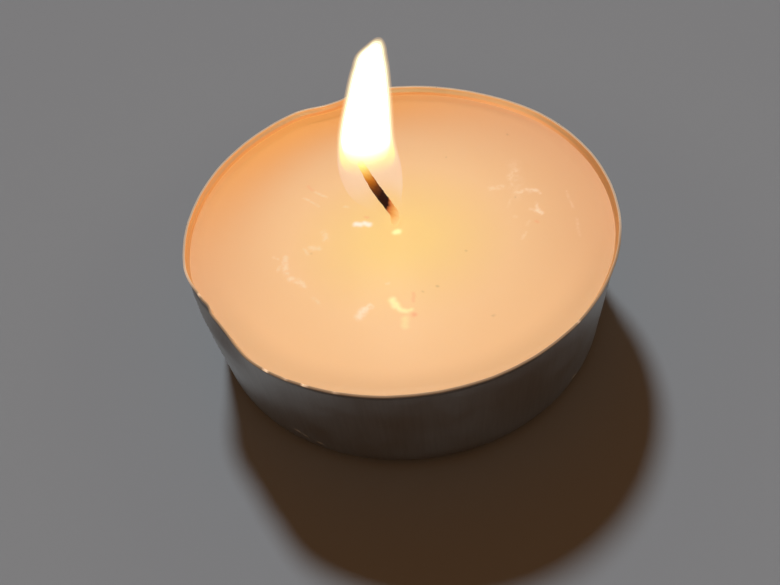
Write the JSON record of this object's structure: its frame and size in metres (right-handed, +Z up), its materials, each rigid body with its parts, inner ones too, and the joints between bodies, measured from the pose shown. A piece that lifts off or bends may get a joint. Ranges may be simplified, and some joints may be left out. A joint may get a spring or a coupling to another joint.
{
  "type": "burning tealight candle",
  "caption": "Low round candle in a thin pressed metal cup with a dented rim, its wax melted to a flat pool round a bent, charred wick that carries a leaning flame.",
  "frame": {"origin": "centre of the cup's underside, on the surface it stands on", "axes": "+Z up; the wick and the flame lean towards -X, and -Y is the side that the picture shows in front"},
  "size_m": [0.038, 0.038, 0.0287],
  "materials": {
    "cup": "thin drawn sheet, satin, with small dents and dings",
    "wax": "melted paraffin wax, cloudy and lit from within by the flame",
    "wick": "braided cotton, charred black, pale and soaked with wax at its foot",
    "wick_sustainer": "thin stamped tab",
    "flame": "burning vapour, white in the middle and yellow at its edge"
  },
  "bodies": {
    "root": {"cup": "cup", "wax": "wax", "wick": "wick", "wick_sustainer": "wick_sustainer", "flame": "flame"}
  },
  "joints": []
}
